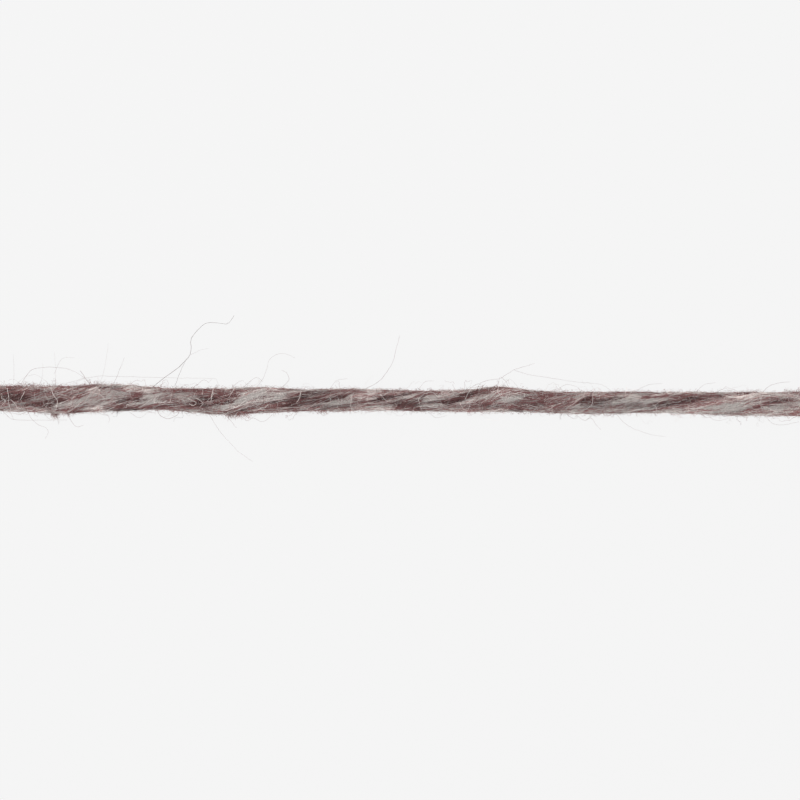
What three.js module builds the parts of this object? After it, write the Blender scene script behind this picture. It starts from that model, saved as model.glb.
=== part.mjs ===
// A cut length of three-ply wool yarn that lies straight on a flat surface.
// Millimetres: +X runs along the yarn, +Y across it and +Z up from the surface at z = 0.
// Seen from above, the grooves between the plies climb towards +Y as they run along +X: an S twist.
import * as THREE from "three";

// Driving dimensions
const CUT_LENGTH = 112;
const PLY_COUNT = 3;
const PLY_RADIUS = 0.92;
const PLY_OFFSET = 0.7; // from the yarn's axis to each ply's axis, less than the radius: plies press together
const PRESSED_FLAT = 0.15; // how far the lowest fibres of a ply give way where it touches the surface
const POINTS_PER_PLY = 8;
const LENGTH_STEPS = 120;
const WOOL = { color: 0x8e7d7b, roughness: 0.95, metalness: 0 };

// The yarn's wander across its line and its thick and thin places, as hand-spun wool has.
const SWELLS = [
  { along: -56.0, across: 0.16, thickness: 3.1 },
  { along: -48.0, across: 0.16, thickness: 3.12 },
  { along: -40.8, across: 0.02, thickness: 3.4 },
  { along: -33.6, across: 0.26, thickness: 3.34 },
  { along: -28.8, across: 0.16, thickness: 2.78 },
  { along: -21.6, across: -0.16, thickness: 3.28 },
  { along: -16.8, across: -0.1, thickness: 3.12 },
  { along: -12.0, across: -0.04, thickness: 2.74 },
  { along: -7.2, across: 0.02, thickness: 2.82 },
  { along: -2.4, across: 0.0, thickness: 2.6 },
  { along: 2.4, across: -0.16, thickness: 2.58 },
  { along: 7.2, across: -0.06, thickness: 2.8 },
  { along: 12.0, across: 0.08, thickness: 3.2 },
  { along: 16.8, across: -0.22, thickness: 2.72 },
  { along: 24.0, across: -0.38, thickness: 2.76 },
  { along: 31.2, across: -0.34, thickness: 2.66 },
  { along: 40.8, across: -0.44, thickness: 3.0 },
  { along: 48.0, across: -0.38, thickness: 3.0 },
  { along: 56.0, across: -0.38, thickness: 3.0 },
];

// Where each groove crosses the middle of the upper side. From one to the next the plies turn by one ply.
const GROOVES = [
  { groove: 0, along: -61.4 },
  { groove: 1, along: -51.7 },
  { groove: 2, along: -41.9 },
  { groove: 3, along: -33.4 },
  { groove: 4, along: -23.6 },
  { groove: 5, along: -13.3 },
  { groove: 6, along: -3.1 },
  { groove: 7, along: 6.1 },
  { groove: 8, along: 15.7 },
  { groove: 9, along: 24.6 },
  { groove: 10, along: 34.7 },
  { groove: 11, along: 45.8 },
  { groove: 12, along: 55.7 },
  { groove: 13, along: 65.4 },
];

const PLY_ANGLE = (2 * Math.PI) / PLY_COUNT;

// A smooth curve through one column of a table, read at a place along the yarn.
function columnAt(rows, column, along) {
  const last = rows.length - 2;
  const at = rows.findIndex((row, i) => i === last || along < rows[i + 1].along);
  const [before, start, end, after] = [-1, 0, 1, 2].map(
    (step) => rows[THREE.MathUtils.clamp(at + step, 0, last + 1)],
  );
  const span = end.along - start.along;
  const t = (along - start.along) / span;
  const slope = (a, b) => ((b[column] - a[column]) / (b.along - a.along)) * span;
  const rise = end[column] - start[column];
  const leaving = slope(before, end);
  const arriving = slope(start, after);
  const bend = t * t * (3 - 2 * t) * rise;
  return start[column] + bend + t * (1 - t) * ((1 - t) * leaving - t * arriving);
}

// The yarn's section, untwisted: three round plies side by side, the first one pointing up.
function pliedSection() {
  const points = [];
  for (let ply = 0; ply < PLY_COUNT; ply++) {
    for (let step = 0; step < POINTS_PER_PLY; step++) {
      const lean = (step / POINTS_PER_PLY - 0.5) * PLY_ANGLE;
      const reach =
        PLY_OFFSET * Math.cos(lean) +
        Math.sqrt(PLY_RADIUS ** 2 - (PLY_OFFSET * Math.sin(lean)) ** 2);
      const angle = ply * PLY_ANGLE + lean;
      points.push(new THREE.Vector2(Math.sin(angle), Math.cos(angle)).multiplyScalar(reach));
    }
  }
  return points;
}

// How the section stands at a place along the yarn: its turn, its size and where its axis runs.
function stance(section, along) {
  const turn = -(columnAt(GROOVES, "groove", along) - 0.5) * PLY_ANGLE;
  const edges = section.map((point) => point.clone().rotateAround(new THREE.Vector2(), turn).x);
  const left = Math.min(...edges);
  const right = Math.max(...edges);
  const size = columnAt(SWELLS, "thickness", along) / (right - left);
  return {
    turn,
    size,
    across: columnAt(SWELLS, "across", along) - (size * (left + right)) / 2,
    height: size * (PLY_OFFSET + PLY_RADIUS) - PRESSED_FLAT,
  };
}

// The plied section drawn out along the yarn, turned with the twist and flattened where it lies.
function strandGeometry() {
  const section = pliedSection();
  const geometry = new THREE.ExtrudeGeometry(new THREE.Shape(section), {
    depth: CUT_LENGTH,
    steps: LENGTH_STEPS,
    bevelEnabled: false,
  });
  const positions = geometry.getAttribute("position");
  const stances = new Map();
  const point = new THREE.Vector2();
  const axis = new THREE.Vector2();
  for (let i = 0; i < positions.count; i++) {
    const along = positions.getZ(i) - CUT_LENGTH / 2;
    if (!stances.has(along)) stances.set(along, stance(section, along));
    const { turn, size, across, height } = stances.get(along);
    point.set(positions.getX(i), positions.getY(i)).rotateAround(axis, turn);
    positions.setXYZ(i, along, across + size * point.x, Math.max(0, height + size * point.y));
  }
  geometry.computeVertexNormals();
  return geometry;
}

const strand = new THREE.Mesh(strandGeometry(), new THREE.MeshStandardMaterial(WOOL));
strand.name = "yarn_strand";

const yarn = new THREE.Group();
yarn.name = "three_ply_yarn";
yarn.add(strand);

export default yarn;
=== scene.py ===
"""A cut length of marled wool yarn, three plies twisted together, lying on a pale lit table.

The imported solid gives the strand's size and place. This script lays the wool over it: the three plies
with their fibre relief, the fibres that run along them, the short fuzz, the tufts, the cut ends and the
long loose hairs. Lengths in fields and tables are in millimetres unless a plan is named, and every
finished mesh is in metres in the solid's own frame.
"""

import logging
import math
from dataclasses import dataclass, field
from enum import Enum
from typing import Any, ClassVar, Sequence

import bpy
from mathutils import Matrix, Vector


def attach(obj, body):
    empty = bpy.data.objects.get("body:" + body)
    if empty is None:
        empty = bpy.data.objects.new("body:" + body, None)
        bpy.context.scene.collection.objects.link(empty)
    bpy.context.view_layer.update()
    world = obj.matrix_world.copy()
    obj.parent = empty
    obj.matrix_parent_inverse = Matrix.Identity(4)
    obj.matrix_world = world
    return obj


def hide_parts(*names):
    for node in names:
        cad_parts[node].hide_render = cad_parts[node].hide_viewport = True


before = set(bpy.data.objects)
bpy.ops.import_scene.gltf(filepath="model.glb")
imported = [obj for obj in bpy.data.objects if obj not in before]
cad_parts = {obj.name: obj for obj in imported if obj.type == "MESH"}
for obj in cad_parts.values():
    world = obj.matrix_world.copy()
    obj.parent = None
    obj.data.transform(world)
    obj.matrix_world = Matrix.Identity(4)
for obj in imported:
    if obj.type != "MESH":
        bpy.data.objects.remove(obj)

MM = 0.001
BODY = "root"
SOLID = "yarn_strand"

# A line traced on the plan, by the spots that it runs through, in pixels of the photo
Course = tuple[tuple[float, float], ...]

log = logging.getLogger("yarn")


class Dye(Enum):
    """The two dyed wools that are spun together, as linear colours."""

    BURGUNDY = (0.294, 0.134, 0.13, 1.0)
    GREY = (0.588, 0.545, 0.522, 1.0)


class Shade(Enum):
    """How a lock of wool looks: its share of grey fibres, then its lightness from 0 to 1. The lightness
    holds painted light as well as the wool's own: the darkest shade adds painted shade where it marks the
    grooves between plies, and the lighter shades on the upper and lower rims are painted highlight and
    painted light through the edge fibres.
    """

    # dark burgundy wool, darkened further with painted shade where its locks mark the grooves
    DEEP_AND_SHADED = (0.1, 0.08)
    BURGUNDY = (0.15, 0.38)
    ROSE = (0.4, 0.6)
    SLATE = (0.5, 0.22)
    MAUVE = (0.45, 0.4)
    BEIGE = (0.66, 0.5)
    GREY = (0.94, 0.48)
    PALE = (0.72, 0.72)
    WHITE = (0.85, 1.0)


class Way(Enum):
    """Which way a cut end of the strand faces along its length."""

    BACK = -1
    FORTH = 1


# Node trees


@dataclass
class Term:
    """One value in a node tree. Sums and products of terms add the nodes that work them out."""

    sheet: "Sheet"
    socket: bpy.types.NodeSocket

    def __add__(self, other: Any) -> "Term":
        """The sum of two terms."""
        return self.sheet.calc("ADD", self, other)

    def __sub__(self, other: Any) -> "Term":
        """This term less the other."""
        return self.sheet.calc("SUBTRACT", self, other)

    def __rsub__(self, other: Any) -> "Term":
        """The other value less this term."""
        return self.sheet.calc("SUBTRACT", other, self)

    def __mul__(self, other: Any) -> "Term":
        """The product of two terms."""
        return self.sheet.calc("MULTIPLY", self, other)

    def __truediv__(self, other: Any) -> "Term":
        """This term divided by the other."""
        return self.sheet.calc("DIVIDE", self, other)

    __radd__ = __add__
    __rmul__ = __mul__


class Sheet:
    """A node tree being drawn up, with short ways to add nodes and join them."""

    noise_stretch: ClassVar[float] = 4.0  # a noise texture stays within 0.25 and 0.75 for the most part

    def __init__(self, name: str, kind: str = "GeometryNodeTree") -> None:
        """Starts an empty tree with its way in and its way out.

        Args:
            name: The tree's name.
            kind: The type of tree, for geometry or for shading.
        """
        self.tree = bpy.data.node_groups.new(name, kind)
        self.entry = self.tree.nodes.new("NodeGroupInput")
        self.exit = self.tree.nodes.new("NodeGroupOutput")
        self.drawings: dict[str, Term] = {}

    def take(self, name: str, kind: str, default: Any = None) -> Term:
        """Adds a named input.

        Args:
            name: The input's name.
            kind: The socket's type, such as Float.
            default: Its value where nothing is joined to it.

        Returns:
            The input's value.
        """
        made = self.tree.interface.new_socket(name, in_out="INPUT", socket_type=f"NodeSocket{kind}")
        if default is not None:
            made.default_value = default
        return Term(self, self.entry.outputs[name])

    def take_sizes(self, sizes: dict[str, Any]) -> list[Term]:
        """Adds a named input for each of a piece's sizes, in order."""
        kinds = {int: "Int", float: "Float"}
        return [self.take(name, kinds[type(size)], size) for name, size in sizes.items()]

    def give(self, name: str, kind: str, value: Any) -> None:
        """Adds a named output and joins a value to it."""
        self.tree.interface.new_socket(name, in_out="OUTPUT", socket_type=f"NodeSocket{kind}")
        self.feed(self.exit, name, value)

    def feed(self, node: bpy.types.Node, name: str, value: Any) -> None:
        """Sets one of a node's inputs to a term or to a plain value."""
        self.join(next(s for s in node.inputs if s.name == name and s.enabled), value)

    def join(self, socket: bpy.types.NodeSocket, value: Any) -> None:
        """Joins a term to a socket, or sets the socket to a plain value.

        Args:
            socket: The socket.
            value: The term or the plain value.
        """
        if isinstance(value, Term):
            self.tree.links.new(value.socket, socket)
        else:
            socket.default_value = value

    def put(self, kind: str, inputs: dict[str, Any] | None = None, **settings: Any) -> bpy.types.Node:
        """Adds a node.

        Args:
            kind: The node's type.
            inputs: Its inputs by name, terms or plain values.
            **settings: Its other settings.

        Returns:
            The node.
        """
        node = self.tree.nodes.new(kind)
        for key, value in settings.items():
            setattr(node, key, value)
        for name, value in (inputs or {}).items():
            self.feed(node, name, value)
        return node

    def out(self, node: bpy.types.Node, name: str) -> Term:
        """One of a node's outputs, by name."""
        return Term(self, next(s for s in node.outputs if s.name == name and s.enabled))

    def one(self, kind: str, output: str, inputs: dict[str, Any] | None = None, **settings: Any) -> Term:
        """Adds a node and returns one of its outputs."""
        return self.out(self.put(kind, inputs, **settings), output)

    def calc(self, operation: str, *values: Any) -> Term:
        """Adds a maths node.

        Args:
            operation: The node's operation.
            *values: Its inputs in order, terms or plain values.

        Returns:
            Its result.
        """
        node = self.put("ShaderNodeMath", operation=operation)
        for socket, value in zip(node.inputs, values):
            self.join(socket, value)
        return Term(self, node.outputs[0])

    def clamp(self, value: Term) -> Term:
        """A value held between 0 and 1."""
        return self.one("ShaderNodeClamp", "Result", {"Value": value})

    def blend(self, start: Any, end: Any, share: Any) -> Term:
        """A value between two others."""
        return start + (end - start) * share

    def ramp(self, value: Term, start: Any, end: Any) -> Term:
        """A smooth step from 0 at a start to 1 at an end."""
        inputs = {"Value": value, "From Min": start, "From Max": end}
        return self.one("ShaderNodeMapRange", "Result", inputs, interpolation_type="SMOOTHSTEP")

    def point(self, x: Any, y: Any, z: Any) -> Term:
        """A vector made of three values."""
        return self.one("ShaderNodeCombineXYZ", "Vector", {"X": x, "Y": y, "Z": z})

    def parts(self, vector: Term) -> tuple[Term, Term, Term]:
        """A vector's three values."""
        node = self.put("ShaderNodeSeparateXYZ", {"Vector": vector})
        return self.out(node, "X"), self.out(node, "Y"), self.out(node, "Z")

    def dyed(self, geometry: Term, grey: Any, tone: Any) -> Term:
        """Stores the share of grey and the lightness, which the wool's finish reads."""
        return self.store(self.store(geometry, "grey", grey), "tone", tone)

    def group(self, tree: bpy.types.NodeTree, inputs: dict[str, Any]) -> bpy.types.Node:
        """Adds a node that stands for another tree."""
        return self.put("GeometryNodeGroup", inputs, node_tree=tree)

    def noise(self, x: Any, y: Any, z: Any = 0.0, detail: float = 1.0) -> Term:
        """Smooth noise at a place, mostly between -1 and 1. Places far apart have noise of their own."""
        inputs = {"Vector": self.point(x, y, z), "Scale": 1.0, "Detail": detail}
        return self.one("ShaderNodeTexNoise", "Fac", inputs) * self.noise_stretch - self.noise_stretch / 2

    def named(self, name: str, kind: str = "FLOAT_VECTOR") -> Term:
        """A stored attribute, by name."""
        return self.one("GeometryNodeInputNamedAttribute", "Attribute", {"Name": name}, data_type=kind)

    def store(self, geometry: Term, name: str, value: Any, kind: str = "FLOAT") -> Term:
        """Stores an attribute on every point of a geometry."""
        inputs = {"Geometry": geometry, "Name": name, "Value": value}
        return self.one("GeometryNodeStoreNamedAttribute", "Geometry", inputs, data_type=kind)

    def nearest(self, lines: Term, place: Term, name: str) -> tuple[Term, Term]:
        """Finds the line that is nearest to a place.

        Args:
            lines: A mesh of lines.
            place: The place.
            name: A vector that the mesh stores on each line.

        Returns:
            The nearest line's vector, and its distance.
        """
        inputs = {"Geometry": lines, "Sample Position": place}
        distance = self.one("GeometryNodeProximity", "Distance", inputs, target_element="EDGES")
        index = self.one("GeometryNodeSampleNearest", "Index", inputs, domain="EDGE")
        inputs = {"Geometry": lines, "Value": self.named(name), "Index": index}
        settings = {"data_type": "FLOAT_VECTOR", "domain": "EDGE"}
        return self.one("GeometryNodeSampleIndex", "Value", inputs, **settings), distance


def linked(name: str, data: bpy.types.ID) -> bpy.types.Object:
    """Puts something into the scene.

    Args:
        name: Its name.
        data: Its mesh, lamp or camera.

    Returns:
        Its object.
    """
    made = bpy.data.objects.new(name, data)
    bpy.context.collection.objects.link(made)
    return made


def baked(name: str, tree: bpy.types.NodeTree, values: dict[str, Any]) -> bpy.types.Object:
    """Runs a geometry tree once and keeps its result as a plain mesh.

    Args:
        name: The finished piece's name.
        tree: The geometry tree.
        values: The tree's named inputs.

    Returns:
        The finished piece, with no modifier on it.
    """
    worker = linked(f"{name}_worker", bpy.data.meshes.new(f"{name}_start"))
    modifier = worker.modifiers.new("Shape", "NODES")
    modifier.node_group = tree
    sockets = {s.name: s for s in tree.interface.items_tree if s.in_out == "INPUT"}
    for key, value in values.items():
        modifier[sockets[key].identifier] = value
    worker.update_tag()
    seen = worker.evaluated_get(bpy.context.evaluated_depsgraph_get())
    mesh = bpy.data.meshes.new_from_object(seen)
    mesh.name = name
    worker.modifiers.clear()
    bpy.data.objects.remove(worker)
    return linked(name, mesh)


# The strand's line


@dataclass(frozen=True)
class Swell:
    """How wide the strand is at a place along it, and where its middle lies across it."""

    along: float
    across: float
    thickness: float


@dataclass(frozen=True)
class Groove:
    """Where a groove between two plies crosses the middle of the strand's upper side."""

    groove: int
    along: float


@dataclass(frozen=True)
class Hairiness:
    """How thickly fuzz stands at a place along the strand: on its far (+Y), upper and near (-Y) side."""

    along: float
    far: float
    upper: float
    near: float


SWELLS = tuple(
    Swell(*row)
    for row in (
        (-56.0, 0.16, 3.1), (-48.0, 0.16, 3.12), (-40.8, 0.02, 3.4), (-33.6, 0.26, 3.34),
        (-28.8, 0.16, 2.78), (-21.6, -0.16, 3.28), (-16.8, -0.03, 3.22), (-12.0, -0.04, 2.74),
        (-7.2, 0.02, 2.82), (-2.4, 0.0, 2.6), (2.4, -0.12, 2.66), (7.2, -0.1, 2.7),
        (12.0, 0.08, 3.2), (16.8, -0.22, 2.72), (24.0, -0.38, 2.76), (27.6, -0.28, 2.72),
        (31.2, -0.34, 2.66), (36.0, -0.36, 2.76), (40.8, -0.46, 2.98), (48.0, -0.48, 3.0),
        (56.0, -0.4, 3.0),
    )
)

GROOVES = tuple(
    Groove(number, along)
    for number, along in enumerate(
        (-61.4, -51.7, -41.9, -33.4, -23.6, -13.3, -3.1, 6.1, 15.7, 24.6, 34.7, 45.8, 55.7, 65.4)
    )
)

HAIRINESS = tuple(
    Hairiness(*row)
    for row in (
        (-56.0, 0.8, 0.5, 0.5), (-48.0, 1.0, 0.7, 0.5), (-43.2, 1.0, 0.55, 0.5),
        (-40.8, 0.9, 0.6, 0.9), (-38.4, 0.8, 0.35, 0.7), (-36.8, 0.8, 0.7, 0.5),
        (-32.4, 0.7, 0.4, 0.3), (-28.2, 0.4, 0.15, 0.4), (-24.6, 0.35, 0.6, 0.45),
        (-22.6, 0.4, 0.55, 0.6), (-19.8, 0.45, 0.35, 1.0), (-15.6, 0.8, 0.3, 0.5),
        (-12.0, 0.4, 0.55, 0.3), (-7.8, 0.25, 0.15, 0.35), (-4.8, 0.4, 0.8, 0.25),
        (-1.8, 0.5, 0.4, 0.2), (1.4, 0.35, 0.65, 0.2), (4.2, 0.3, 0.2, 0.2), (8.4, 0.5, 0.6, 0.2),
        (12.0, 0.7, 0.6, 0.3), (15.6, 0.5, 0.3, 0.3), (19.2, 0.35, 0.4, 0.3),
        (22.8, 0.5, 0.55, 0.35), (27.0, 0.45, 0.45, 0.25), (31.2, 0.2, 0.4, 0.25),
        (35.3, 0.2, 0.5, 0.15), (38.4, 0.2, 0.25, 0.15), (41.8, 0.25, 0.5, 0.2),
        (44.0, 0.35, 0.25, 0.3), (48.0, 0.7, 0.7, 0.4), (56.0, 0.6, 0.5, 0.5),
    )
)


def column(rows: Sequence[Any], name: str, along: float) -> float:
    """A smooth curve through one column of a table.

    Args:
        rows: The table, in order along the strand.
        name: The column.
        along: The place along the strand, in millimetres.

    Returns:
        The column's value there.
    """
    last = len(rows) - 2
    at = next(i for i in range(len(rows)) if i == last or along < rows[i + 1].along)
    before, start, end, after = (rows[min(max(at + step, 0), last + 1)] for step in (-1, 0, 1, 2))
    span = end.along - start.along
    t = (along - start.along) / span
    low, high = getattr(start, name), getattr(end, name)
    leaving = (high - getattr(before, name)) / (end.along - before.along) * span
    arriving = (getattr(after, name) - low) / (after.along - start.along) * span
    bend = t * t * (3 - 2 * t) * (high - low)
    return low + bend + t * (1 - t) * ((1 - t) * leaving - t * arriving)


@dataclass(frozen=True)
class Stance:
    """How the section stands at a place: its turn in radians, its size and where its axis runs."""

    turn: float
    size: float
    across: float
    height: float


@dataclass
class YarnLine:
    """The line that the strand follows, and the section that turns along it."""

    cut_length: float = 112.0
    ply_count: int = 3
    ply_radius: float = 0.92
    ply_offset: float = 0.7
    pressed_flat: float = 0.15
    step: float = 0.2
    clear_of_table: float = 0.03
    section_points: int = 24

    @property
    def end(self) -> float:
        """Half the cut length, from the middle to either end."""
        return self.cut_length / 2

    @property
    def ply_angle(self) -> float:
        """The angle from one ply to the next, in radians."""
        return 2 * math.pi / self.ply_count

    def reach(self, angle: float) -> float:
        """How far the section's outline is from its axis, before the section is sized.

        Args:
            angle: The angle from the first ply's crest, in radians.

        Returns:
            The distance, in millimetres.
        """
        lean = (angle + self.ply_angle / 2) % self.ply_angle - self.ply_angle / 2
        inner = self.ply_radius**2 - (self.ply_offset * math.sin(lean)) ** 2
        return self.ply_offset * math.cos(lean) + math.sqrt(inner)

    def stance(self, along: float) -> Stance:
        """How the section stands at a place along the strand.

        Args:
            along: The place, in millimetres.

        Returns:
            The stance.
        """
        turn = (column(GROOVES, "groove", along) - 0.5) * self.ply_angle
        angles = [2 * math.pi * i / self.section_points for i in range(self.section_points)]
        edges = [self.reach(angle) * math.sin(angle + turn) for angle in angles]
        size = column(SWELLS, "thickness", along) / (max(edges) - min(edges))
        across = column(SWELLS, "across", along) - size * (max(edges) + min(edges)) / 2
        height = size * (self.ply_offset + self.ply_radius) - self.pressed_flat
        return Stance(turn, size, across, height)

    def over(self, along: float, across: float, clearance: float) -> float:
        """The height at which a hair passes over the strand, or the strand's middle height beside it.

        Args:
            along: The place along the strand, in millimetres.
            across: The place across it.
            clearance: How far over the crests of the plies the hair passes.

        Returns:
            The height over the table, in millimetres.
        """
        here = self.stance(along)
        around = here.size * (self.ply_offset + self.ply_radius) + clearance
        return here.height + math.sqrt(max(around**2 - (across - here.across) ** 2, 0.0))

    def places(self) -> list[float]:
        """Places along the strand, a step apart, in millimetres."""
        count = round(self.cut_length / self.step)
        return [self.cut_length * i / count - self.end for i in range(count + 1)]

    def centre_points(self) -> list[tuple[float, float, float]]:
        """Points down the strand's middle, in metres."""
        middle = (column(SWELLS, "thickness", 0.0) - self.pressed_flat) / 2
        return [(x * MM, column(SWELLS, "across", x) * MM, middle * MM) for x in self.places()]

    def guide(self) -> bpy.types.Object:
        """A straight line of points that carries the strand's facts for the node trees.

        Returns:
            The guide. Each point stores its turn and size, its axis in metres, and its hairiness.
        """
        places = self.places()
        mesh = bpy.data.meshes.new("guide")
        mesh.from_pydata([(x * MM, 0, 0) for x in places], [(i, i + 1) for i in range(len(places) - 1)], [])
        stance = mesh.attributes.new("stance", "FLOAT_VECTOR", "POINT")
        axis = mesh.attributes.new("axis", "FLOAT_VECTOR", "POINT")
        hair = mesh.attributes.new("hair", "FLOAT_VECTOR", "POINT")
        for i, x in enumerate(places):
            here = self.stance(x)
            stance.data[i].vector = (here.turn, here.size, 0.0)
            axis.data[i].vector = (here.across * MM, here.height * MM, 0.0)
            hair.data[i].vector = [column(HAIRINESS, name, x) for name in ("far", "upper", "near")]
        return linked("guide", mesh)


# Locks and hairs, traced from the photo


@dataclass(frozen=True)
class Plan:
    """The photo as a plan of the strand. A spot is a pixel of it, from its left edge and its top edge.

    The photo is 800 pixels wide and shows 96 mm, so a step of one pixel is 0.12 mm.
    """

    step: float = 0.12
    middle: float = 400.0
    axis_row: float = 399.3
    upper_side: float = 0.994  # the upper side is nearer to the eye, so the plan shows it larger

    def place(self, spot: tuple[float, float]) -> tuple[float, float]:
        """A spot of the plan as its place along and across the strand, in millimetres."""
        along, down = spot
        return (along - self.middle) * self.step * self.upper_side, (self.axis_row - down) * self.step


@dataclass(frozen=True)
class Lock:
    """A lock of one shade of wool on the strand's upper side, by its course on the plan. Its shade is
    partly painted light: painted shade along the grooves, painted highlight along the rims.

    A wisp lies over the locks and has a width on the plan. A lock has none and runs up to its neighbours.
    """

    shade: Shade
    course: Course
    width: float = 0.0


@dataclass(frozen=True)
class Hair:
    """A long loose hair, by its course on the plan and its thickness in millimetres."""

    shade: Shade
    thickness: float
    course: Course


@dataclass(frozen=True)
class Tuft:
    """A small tangle of fibres that stands out from the strand's side.

    Its spot and its reach are on the plan. A tuft with more shares has more hairs.
    """

    spot: tuple[float, float]
    reach: tuple[float, float]
    shares: int = 1


def locks_of(shade: Shade, *courses: Course) -> tuple[Lock, ...]:
    """Locks of one shade."""
    return tuple(Lock(shade, course) for course in courses)


def hairs_of(shade: Shade, thickness: float, *courses: Course) -> tuple[Hair, ...]:
    """Loose hairs of one shade and thickness."""
    return tuple(Hair(shade, thickness, course) for course in courses)


# The shades of these locks hold painted shade along the grooves between plies and painted light along the
# upper and lower rims, besides the wool's own colour.
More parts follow.
